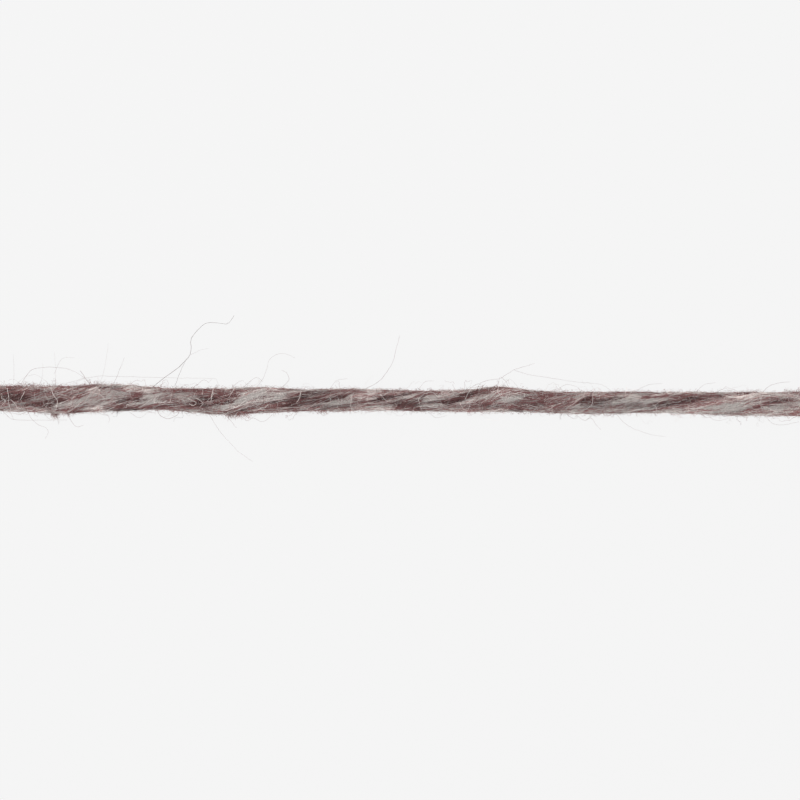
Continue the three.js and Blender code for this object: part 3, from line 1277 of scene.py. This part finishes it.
@dataclass
class PliedStrand:
    """The three plies as one closed skin with the relief of their fibre bundles."""

    maker: Maker
    finish: WoolFinish
    name: str = "plied_strand"
    steps_along: int = 500
    points_around: int = 120
    sunk: float = 0.27

    def build(self) -> bpy.types.Object:
        """Builds the skin from a tube that is turned and swelled along the guide.

        Returns:
            The piece.
        """
        sheet = self.maker.start("Plied strand")
        sizes = {
            "Steps along": self.steps_along,
            "Points around": self.points_around,
            "Cut length": self.maker.line.cut_length * MM,
            "Sunk": self.sunk * MM,
        }
        steps, points, length, sunk = sheet.take_sizes(sizes)
        inputs = {"Vertices": points, "Side Segments": steps, "Radius": 1.0, "Depth": 1.0}
        tube = sheet.one("GeometryNodeMeshCylinder", "Mesh", inputs, fill_type="TRIANGLE_FAN")
        x, y, z = sheet.parts(sheet.one("GeometryNodeInputPosition", "Position"))
        along = z * length
        around = sheet.calc("ARCTAN2", x, y)
        depth = sheet.calc("SQRT", x * x + y * y)
        grey, tone = self.maker.marl(sheet, along, around)
        position, _ = self.maker.surface(sheet, along, around, sunk * depth * -1.0, depth)
        inputs = {"Geometry": sheet.dyed(tube, grey, tone), "Position": position}
        moved = sheet.one("GeometryNodeSetPosition", "Geometry", inputs)
        tree = self.maker.finish(sheet, moved, self.finish.material())
        return baked(self.name, tree, {**self.maker.values(), **sizes})


@dataclass
class Fibres:
    """Fibres in their hundreds, each a thin tapered tube with its own length, place and wool."""

    maker: Maker
    finish: WoolFinish
    name: str
    count: int
    seed: int
    points: int = 9
    length: float = 5.0
    thickness: float = 0.05
    uneven: tuple[float, float] = (0.7, 1.3)  # thinnest and thickest, against the usual thickness
    tip: float = 0.5  # how thick the tip is against the root
    tone_spread: float = 0.2
    tone_spread_share: tuple[float, float] = (1.05, 0.65)  # of the spread, for burgundy and for grey wool
    pale_share: float = 0.07
    pale_lift: float = 0.4
    brighter: float = 0.0
    noise_span: float = 50.0  # how far apart in the noise two fibres may read it
    draws: int = field(default=0, init=False)
    sheet: Sheet = field(init=False, repr=False)
    seed_input: Term = field(init=False, repr=False)
    index: Term = field(init=False, repr=False)
    along: Term = field(init=False, repr=False)
    around: Term = field(init=False, repr=False)

    def build(self) -> bpy.types.Object:
        """Builds every fibre of the piece.

        Returns:
            The piece.
        """
        self.sheet = sheet = self.maker.start(self.name)
        sizes = {
            "Count": self.count,
            "Points": self.points,
            "Length": self.length * MM,
            "Thickness": self.thickness * MM,
            "Seed": self.seed,
        }
        count, points, length, thickness, self.seed_input = sheet.take_sizes(sizes)
        line = sheet.one("GeometryNodeCurvePrimitiveLine", "Curve", {"End": (MM, 0.0, 0.0)})
        inputs = {"Curve": line, "Count": points}
        line = sheet.one("GeometryNodeResampleCurve", "Curve", inputs, mode="COUNT")
        roots = sheet.one("GeometryNodePoints", "Points", {"Count": count})
        many = sheet.one("GeometryNodeInstanceOnPoints", "Instances", {"Points": roots, "Instance": line})
        curves = sheet.one("GeometryNodeRealizeInstances", "Geometry", {"Geometry": many})
        self.index = sheet.one("GeometryNodeCurveOfPoint", "Curve Index")
        run = sheet.one("GeometryNodeSplineParameter", "Factor")
        self.take_root()
        position, taper, keep = self.path(run, length)
        curves = sheet.dyed(curves, *self.wool())
        radius = thickness * 0.5 * self.random(*self.uneven) * taper
        curves = sheet.one("GeometryNodeSetCurveRadius", "Curve", {"Curve": curves, "Radius": radius})
        inputs = {"Geometry": curves, "Position": position}
        curves = sheet.one("GeometryNodeSetPosition", "Geometry", inputs)
        if keep is not None:
            inputs = {"Geometry": curves, "Selection": sheet.calc("LESS_THAN", keep, 0.5)}
            curves = sheet.one("GeometryNodeDeleteGeometry", "Geometry", inputs, domain="CURVE")
        tree = self.maker.finish(sheet, tubes(sheet, curves), self.finish.material())
        return baked(self.name, tree, {**self.maker.values(), **sizes})

    def random(self, low: float, high: float) -> Term:
        """Draws a random value that stays the same all along a fibre.

        Args:
            low: The lowest value.
            high: The highest value.

        Returns:
            The value. Every draw of a piece has a seed of its own, so the order of the draws counts.
        """
        self.draws += 1
        inputs = {"Min": low, "Max": high, "ID": self.index, "Seed": self.seed_input + self.draws * 1.0}
        return self.sheet.one("FunctionNodeRandomValue", "Value", inputs, data_type="FLOAT")

    def row(self) -> Term:
        """A fibre's own row in the noise, so that no two fibres bend alike."""
        return self.random(0.0, self.noise_span)

    def take_root(self) -> None:
        """Chooses where on the strand each fibre belongs."""
        end = self.maker.line.end * MM
        self.along = self.random(-end, end)
        self.around = self.random(-math.pi, math.pi)

    def wool(self) -> tuple[Term, Term]:
        """Chooses each fibre's wool: burgundy or grey by the marl where it runs, and now and then pale.

        Returns:
            Its share of grey and its lightness.
        """
        sheet = self.sheet
        grey, tone = self.maker.marl(sheet, self.along, self.around)
        pale = sheet.calc("LESS_THAN", self.random(0.0, 1.0), self.pale_share)
        picked = sheet.calc("LESS_THAN", self.random(0.0, 1.0), sheet.calc("MAXIMUM", grey, pale))
        spread = self.random(-self.tone_spread, self.tone_spread)
        spread = spread * sheet.blend(*self.tone_spread_share, grey)
        return picked, tone + spread + pale * self.pale_lift + self.brighter

    def path(self, run: Term, length: Term) -> tuple[Term, Term, Term | None]:
        """A fibre's path.

        Args:
            run: How far along the fibre a point is, from 0 to 1.
            length: The usual length of a fibre, in metres.

        Returns:
            The point's position, how thick the fibre is there, and 1 where the fibre is kept or None.
        """
        raise NotImplementedError


def tubes(sheet: Sheet, curves: Term) -> Term:
    """Turns curves into thin closed three-sided tubes.

    Args:
        sheet: The sheet to draw on.
        curves: The curves, each with its own radius.

    Returns:
        The tubes' mesh.
    """
    radius = sheet.one("GeometryNodeInputRadius", "Radius")
    ring = sheet.one("GeometryNodeCurvePrimitiveCircle", "Curve", {"Resolution": 3, "Radius": 1.0})
    inputs = {"Curve": curves, "Profile Curve": ring, "Scale": radius, "Fill Caps": True}
    return sheet.one("GeometryNodeCurveToMesh", "Mesh", inputs)


@dataclass
class LaidFibres(Fibres):
    """Fibres that lie along the plies and cover them."""

    wander: float = 0.2  # radians a millimetre, either way, off the ply's own run
    lowest: float = -0.28
    highest: float = -0.05
    slip: float = 0.5
    stray: float = 0.1  # radians: how far off its lock a fibre may take its wool
    halves: tuple[float, float] = (0.3, 0.7)  # of the usual length, to either side of its middle
    follows: float = 0.55  # how much of its single's own twist a fibre follows
    wave_length: float = 1.3
    wave: float = 0.12  # radians
    crimp_length: float = 0.5
    crimp: float = 0.3  # radians, for the loosest fibres
    crimp_row: float = 3.0
    bob_length: float = 0.9
    bob: float = 0.02
    bob_row: float = 7.0
    arch_power: float = 4.0  # the higher, the nearer to its ends a fibre starts to dip
    tucked: float = 1.1  # how deep the ends go, against the lowest fibres
    tip: float = 0.35

    def path(self, run: Term, length: Term) -> tuple[Term, Term, Term | None]:
        """A fibre's path along its ply, tucked in at both ends.

        Args:
            run: How far along the fibre a point is, from 0 to 1.
            length: The usual length of a fibre, in metres.

        Returns:
            The point's position, how thick the fibre is there, and 1 where the fibre is kept or None.
        """
        sheet, end = self.sheet, self.maker.line.end * MM
        half = length * self.random(*self.halves)
        first = sheet.calc("MAXIMUM", self.along - half, -end)
        last = sheet.calc("MINIMUM", self.along + half, end)
        along = first + (last - first) * run
        own_run = self.maker.trees.singles_twist * self.follows
        slope = (self.random(-self.wander, self.wander) - own_run) / MM
        own = self.row()
        loose = self.random(0.0, 1.0)
        wave = sheet.noise(along / (self.wave_length * MM), own) * self.wave
        crimp = sheet.noise(along / (self.crimp_length * MM), own, self.crimp_row, detail=0.0)
        crimp = crimp * (loose * loose * self.crimp)
        around = self.around + (along - self.along) * slope + wave + crimp
        self.along = along + self.random(-self.slip, self.slip) * MM
        self.around = around + self.random(-1.0, 1.0) * self.stray
        from_middle = sheet.calc("ABSOLUTE", run * 2.0 - 1.0)
        arch = 1.0 - sheet.calc("POWER", from_middle, self.arch_power)
        bob = sheet.noise(along / (self.bob_length * MM), own, self.bob_row, detail=0.0)
        level = self.random(self.lowest * MM, self.highest * MM)
        lift = sheet.blend(self.lowest * self.tucked * MM, level + bob * (self.bob * MM), arch)
        position, _ = self.maker.surface(sheet, along, around, lift)
        return position, sheet.blend(self.tip, 1.0, arch), None


@dataclass
class Fuzz(Fibres):
    """Hairs that stand off the strand, loop back to it or lie across it."""

    height: float = 1.1
    curl: float = 0.6
    swing: float = 0.9
    clumped: float = 0.0
    loops: tuple[float, float] = (0.4, 1.0)  # half circles that a hair runs through
    clump_length: float = 3.0
    clump_width: float = 0.5  # radians
    waves: float = 3.0  # how many times a hair bends along its length
    sway: float = 0.25  # how far it sways along the strand, against its length
    weave: float = 0.35  # radians
    rows: tuple[float, float, float] = (5.0, 0.0, 9.0)  # of the noise, for sway, weave and curl
    clump_row: float = 60.0
    least_height: float = 0.06
    rooted: float = 0.05
    tip: float = 0.45

    def path(self, run: Term, length: Term) -> tuple[Term, Term, Term | None]:
        """A hair's path, from its root in the ply out into the air.

        Args:
            run: How far along the fibre a point is, from 0 to 1.
            length: The usual length of a fibre, in metres.

        Returns:
            The point's position, how thick the fibre is there, and 1 where the fibre is kept or None.
        """
        sheet = self.sheet
        own = self.row()
        sway, weave, bend = (sheet.noise(run * self.waves, own, row) * run for row in self.rows)
        along = self.along + length * (run * self.random(-1.0, 1.0) + sway * self.sway)
        around = self.around + run * self.random(-self.swing, self.swing) + weave * self.weave
        high, loop = self.random(0.0, 1.0), self.random(*self.loops) * math.pi
        tall = high * high * (self.height * MM) + self.least_height * MM
        rooted = self.rooted * MM
        lift = tall * (sheet.calc("SINE", run * loop) + bend * self.curl) - (1.0 - run) * rooted
        lift = sheet.calc("MAXIMUM", lift, -rooted)
        position, _ = self.maker.surface(sheet, along, around, lift)
        _, hairiness = self.maker.surface(sheet, self.along, self.around, 0.0)
        x, y = self.along / (self.clump_length * MM), self.around / self.clump_width
        clump = sheet.noise(x, y, self.clump_row)
        kept = sheet.calc("LESS_THAN", self.random(0.0, 1.0), hairiness + clump * self.clumped)
        return position, sheet.blend(1.0, self.tip, run), kept


@dataclass
class CutEnds(Fibres):
    """Fibre ends that stand a little way out of the two cut faces."""

    way: Way = Way.FORTH
    grey_share: float = 0.55
    tones: tuple[float, float] = (0.1, 0.8)
    lengths: tuple[float, float] = (0.25, 1.0)
    outermost: float = 0.97
    rooted: float = 0.3  # how deep in the face the fibres start, against their length
    waves: float = 2.0
    weave: float = 0.2  # radians
    rise: float = 0.15
    rise_row: float = 9.0

    def wool(self) -> tuple[Term, Term]:
        """Gives each fibre end its own wool, as all three plies end in the face."""
        grey = self.sheet.calc("LESS_THAN", self.random(0.0, 1.0), self.grey_share)
        return grey, self.random(*self.tones)

    def take_root(self) -> None:
        """Roots each fibre somewhere in a cut face."""
        super().take_root()
        self.along = self.sheet.calc("ADD", self.way.value * self.maker.line.end * MM, 0.0)

    def path(self, run: Term, length: Term) -> tuple[Term, Term, Term | None]:
        """A fibre's path, straight out of the cut face and a little aside.

        Args:
            run: How far along the fibre a point is, from 0 to 1.
            length: The usual length of a fibre, in metres.

        Returns:
            The point's position, how thick the fibre is there, and 1 where the fibre is kept or None.
        """
        sheet = self.sheet
        own = self.row()
        depth = sheet.calc("SQRT", self.random(0.0, 1.0)) * self.outermost
        out = run * self.random(*self.lengths) * (1.0 + self.rooted) - self.rooted
        along = self.along + out * length * float(self.way.value)
        around = self.around + run * sheet.noise(run * self.waves, own) * self.weave
        lift = run * sheet.noise(run * self.waves, own, self.rise_row) * (self.rise * MM)
        position, _ = self.maker.surface(sheet, along, around, lift, depth)
        return position, sheet.blend(1.0, self.tip, run), None


@dataclass
class TuftHairs(Fibres):
    """Small curled tangles at the places that the plan shows."""

    tufts: Sequence[Tuft] = TUFTS
    grey_share: float = 0.25
    tone: float = 0.6
    height: float = 2.2
    droop: float = 0.5
    rooted: float = 0.15  # how far inside the strand's outline the hairs start, against the tuft's reach
    narrowest: float = 0.2  # the least share of the tuft's width that a hair's place is drawn from
    lean: float = 1.6
    lean_waves: float = 4.0
    lean_weave: float = 0.5
    lean_share: float = 0.6  # how far aside a leaning hair goes, against the tuft's reach
    lengths: tuple[float, float] = (0.1, 1.0)
    outliers: tuple[float, float] = (0.4, 1.8)
    waves: float = 4.5
    weave: float = 0.35
    rise: float = 0.4
    rows: tuple[float, float] = (4.0, 8.0)  # of the noise, for weave and rise
    uneven_height: float = 0.25
    noise_span: float = 90.0
    near: float = 0.001  # keeps the tuft that is picked under the number of tufts

    def path(self, run: Term, length: Term) -> tuple[Term, Term, Term | None]:
        """A hair's path, curling about inside its tuft's reach.

        Args:
            run: How far along the fibre a point is, from 0 to 1.
            length: The usual length of a fibre, in metres. Not used here.

        Returns:
            The point's position, how thick the fibre is there, and 1 where the fibre is kept or None.
        """
        sheet, plan = self.sheet, self.maker.plan
        spots = [(*plan.place(tuft.spot), *tuft.reach) for tuft in self.tufts for _ in range(tuft.shares)]
        pick = sheet.calc("FLOOR", self.random(0.0, len(spots) - self.near))
        x, y, wide, high = (self.chosen(pick, values) for values in zip(*spots))
        side = sheet.calc("SIGN", y)
        own = self.row()
        step = plan.step
        lean = sheet.noise(run * self.lean_waves, own) * self.lean_weave
        lean = lean + self.random(-self.lean, self.lean)
        spread = self.random(-1.0, 1.0) * self.random(self.narrowest, 1.0) + run * lean * self.lean_share
        weave, rise = (sheet.noise(run * self.waves, own, row) * run for row in self.rows)
        out = run * self.random(*self.lengths) * self.random(*self.outliers)
        out = out + weave * self.weave - self.rooted
        tall = self.random(-self.uneven_height, self.uneven_height)
        tall = tall + rise * self.rise + self.height - run * self.droop
        place = sheet.point(x + spread * wide * step, y + out * high * step * side, tall)
        inputs = {"Vector": place, "Scale": MM}
        position = sheet.one("ShaderNodeVectorMath", "Vector", inputs, operation="SCALE")
        return position, sheet.blend(1.0, self.tip, run), None

    def wool(self) -> tuple[Term, Term]:
        """Gives each hair a mixed and rather light wool."""
        grey = self.sheet.calc("LESS_THAN", self.random(0.0, 1.0), self.grey_share)
        return grey, self.tone + self.random(-self.tone_spread, self.tone_spread)

    def chosen(self, pick: Term, values: Sequence[float]) -> Term:
        """Looks up the value of the tuft that was picked.

        Args:
            pick: The tuft's number.
            values: One value for each tuft.

        Returns:
            The picked tuft's value.
        """
        total: Any = 0.0
        for i, value in enumerate(values):
            picked = self.sheet.calc("COMPARE", pick, float(i), self.near)
            total = self.sheet.calc("MULTIPLY_ADD", picked, value, total)
        return total


@dataclass
class LooseHairs:
    """The long hairs that the plan shows, each along its own course."""

    maker: Maker
    finish: WoolFinish
    name: str = "loose_hairs"
    hairs: Sequence[Hair] = HAIRS
    points: int = 30
    kink: float = 0.05
    kink_length: float = 0.8
    kink_rows: tuple[float, float, float] = (0.0, 20.0, 40.0)  # of the noise, one for each direction
    hairs_apart: float = 1.7  # how far apart the hairs read the noise, so that each has its own kinks
    tip: float = 0.56  # how thick the tip is against the root
    clearance: float = 0.07
    least_height: float = 0.09
    tilt: float = 0.35  # how steeply the hairs may rise or droop beside the strand
    tilt_turn: float = 2.4  # radians from one hair to the next, so that the tilts differ

    def build(self) -> bpy.types.Object:
        """Builds the hairs from their courses, smoothed and kinked.

        Returns:
            The piece.
        """
        sheet = self.maker.start("Loose hairs")
        given = sheet.take("Courses", "Object")
        sizes = {"Points": self.points, "Kink": self.kink * MM}
        points, kink = sheet.take_sizes(sizes)
        mesh = sheet.one("GeometryNodeObjectInfo", "Geometry", {"Object": given})
        curves = sheet.one("GeometryNodeMeshToCurve", "Curve", {"Mesh": mesh})
        inputs = {"Curve": curves}
        curves = sheet.one("GeometryNodeCurveSplineType", "Curve", inputs, spline_type="CATMULL_ROM")
        inputs = {"Curve": curves, "Count": points}
        curves = sheet.one("GeometryNodeResampleCurve", "Curve", inputs, mode="COUNT")
        grey, tone, thickness = sheet.parts(sheet.named("dye"))
        curves = sheet.dyed(curves, grey, tone)
        run = sheet.one("GeometryNodeSplineParameter", "Factor")
        x, y, _ = sheet.parts(sheet.one("GeometryNodeInputPosition", "Position"))
        hair = sheet.one("GeometryNodeCurveOfPoint", "Curve Index") * self.hairs_apart
        x, y = x / (self.kink_length * MM), y / (self.kink_length * MM)
        rough = [sheet.noise(x, y, hair + own, detail=2.0) * kink for own in self.kink_rows]
        inputs = {"Geometry": curves, "Offset": sheet.point(*rough)}
        curves = sheet.one("GeometryNodeSetPosition", "Geometry", inputs)
        inputs = {"Curve": curves, "Radius": thickness * sheet.blend(0.5, self.tip / 2, run)}
        curves = sheet.one("GeometryNodeSetCurveRadius", "Curve", inputs)
        tree = self.maker.finish(sheet, tubes(sheet, curves), self.finish.material())
        courses = self.courses()
        piece = baked(self.name, tree, {**self.maker.values(), **sizes, "Courses": courses})
        bpy.data.objects.remove(courses)
        return piece

    def courses(self) -> bpy.types.Object:
        """The hairs' courses as lines in space.

        Returns:
            The lines. Each point stores its hair's share of grey, lightness and thickness in metres.
        """
        lines = []
        for hair in self.hairs:
            places = [self.maker.plan.place(spot) for spot in hair.course]
            slope = self.tilt * math.sin(self.tilt_turn * len(lines))
            lines.append([(x, y, self.height(x, y, slope)) for x, y in places])
        mesh = drawn("courses", lines)
        dye = mesh.attributes.new("dye", "FLOAT_VECTOR", "POINT")
        point = 0
        for hair in self.hairs:
            for _ in hair.course:
                dye.data[point].vector = (*hair.shade.value, hair.thickness * MM)
                point += 1
        return linked("courses", mesh)

    def height(self, x: float, y: float, slope: float) -> float:
        """A hair's height at a place: just over the strand, then rising or drooping beside it.

        Args:
            x: The place along the strand, in millimetres.
            y: The place across it.
            slope: How steeply the hair rises beside the strand.

        Returns:
            The height over the table, in millimetres.
        """
        line = self.maker.line
        beside = max(abs(y - column(SWELLS, "across", x)) - column(SWELLS, "thickness", x) / 2, 0.0)
        return max(line.over(x, y, self.clearance) + slope * beside, self.least_height)


# Table, light and camera


@dataclass
class Studio:
    """The table, the soft light and the camera straight above the strand."""

    table_size: float = 4000.0
    picture_width: float = 96.0
    picture_middle: float = -0.012
    strand_height: float = 1.5
    lens: float = 100.0
    sensor: float = 36.0
    sky_light: float = 0.58
    sky_seen: float = 0.9
    lamp_power: float = 1.25
    lamp_size: tuple[float, float] = (300.0, 200.0)
    lamp_place: tuple[float, float, float] = (-60.0, 60.0, 420.0)
    nearest_seen: float = 10.0
    farthest_seen: float = 10000.0
    table: TableFinish = field(default_factory=TableFinish)

    def build(self) -> None:
        """Builds the table, the lights and the camera."""
        self.build_table()
        self.build_sky()
        self.build_softbox()
        self.build_camera()
        bpy.context.scene.view_settings.view_transform = "Standard"

    def build_table(self) -> None:
        """Lays the table at the strand's foot."""
        half = self.table_size * MM / 2
        mesh = bpy.data.meshes.new("table")
        corners = [(-half, -half, 0), (half, -half, 0), (half, half, 0), (-half, half, 0)]
        mesh.from_pydata(corners, [], [(0, 1, 2, 3)])
        mesh.materials.append(self.table.material())
        linked("table", mesh)

    def build_sky(self) -> None:
        """Lights the strand from all round, from a sky that looks as pale as the table."""
        world = bpy.data.worlds.new("studio")
        world.use_nodes = True
        nodes, links = world.node_tree.nodes, world.node_tree.links
        back = nodes["Background"]
        back.inputs["Color"].default_value = (1.0, 1.0, 1.0, 1.0)
        ray = nodes.new("ShaderNodeLightPath")
        level = nodes.new("ShaderNodeMapRange")
        level.inputs["To Min"].default_value = self.sky_light
        level.inputs["To Max"].default_value = self.sky_seen
        links.new(ray.outputs["Is Camera Ray"], level.inputs["Value"])
        links.new(level.outputs["Result"], back.inputs["Strength"])
        bpy.context.scene.world = world

    def build_softbox(self) -> None:
        """Hangs a soft lamp over the strand's far side."""
        lamp = bpy.data.lights.new("softbox", "AREA")
        lamp.shape = "RECTANGLE"
        lamp.size, lamp.size_y = (side * MM for side in self.lamp_size)
        lamp.energy = self.lamp_power
        softbox = linked("softbox", lamp)
        softbox.location = [value * MM for value in self.lamp_place]
        softbox.rotation_euler = (-softbox.location).to_track_quat("-Z", "Y").to_euler()

    def build_camera(self) -> None:
        """Hangs the camera over the strand, as high as the picture's width asks."""
        data = bpy.data.cameras.new("camera")
        data.lens, data.sensor_width = self.lens, self.sensor
        data.clip_start, data.clip_end = self.nearest_seen * MM, self.farthest_seen * MM
        camera = linked("camera", data)
        above = self.picture_width * self.lens / self.sensor + self.strand_height
        camera.location = (0.0, self.picture_middle * MM, above * MM)
        bpy.context.scene.camera = camera


def main() -> None:
    """Builds the strand piece by piece, tells the frame about each, and lights the scene."""
    logging.basicConfig(level=logging.INFO, format="%(name)s: %(message)s")
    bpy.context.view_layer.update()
    Studio().build()

    line, plan = YarnLine(), Plan()
    drawings = (line.guide(), marked("locks", LOCKS, plan), marked("wisps", WISPS, plan))
    maker = Maker(line, plan, YarnTrees(line), *drawings)
    # The skin is coloured darker than the fibres over it: painted shade for the gaps between the fibres.
    shaded_core = WoolFinish("wool_core_painted_shade", darkest=0.2, lightest=1.2)
    fibre = WoolFinish("wool_fibre")
    strand = PliedStrand(maker, shaded_core).build()
    short = {"points": 7, "length": 0.75, "thickness": 0.025, "height": 0.36}
    hairs = [
        LaidFibres(maker, fibre, "laid_fibres_a", count=2800, seed=11).build(),
        LaidFibres(maker, fibre, "laid_fibres_b", count=2800, seed=23).build(),
        LaidFibres(maker, fibre, "laid_fibres_c", count=2800, seed=37, length=3.8, wander=0.32).build(),
        Fuzz(maker, fibre, "short_fuzz_a", 5000, 53, **short).build(),
        Fuzz(maker, fibre, "short_fuzz_b", 5000, 59, **short).build(),
        Fuzz(
            maker, fibre, "long_fuzz", 1100, 71, points=16, length=2.6, thickness=0.027, height=1.2,
        ).build(),
        Fuzz(
            maker, fibre, "surface_curls", 3000, 79, length=1.1, thickness=0.038,
            height=0.12, clumped=0.4, brighter=0.28,
        ).build(),
        TuftHairs(maker, fibre, "tufts", 1300, 83, thickness=0.036).build(),
        CutEnds(maker, fibre, "cut_end_back", 800, 97, points=4, length=0.9, way=Way.BACK).build(),
        CutEnds(maker, fibre, "cut_end_forth", 800, 101, points=4, length=0.9, way=Way.FORTH).build(),
        LooseHairs(maker, fibre).build(),
    ]
    for drawing in drawings:
        bpy.data.objects.remove(drawing)
    for piece in (strand, *hairs):
        log.info("%s: %d triangles", piece.name, sum(len(p.vertices) - 2 for p in piece.data.polygons))
        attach(piece, BODY)
    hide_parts(SOLID)
    path = line.centre_points()


if __name__ == "__main__":
    main()
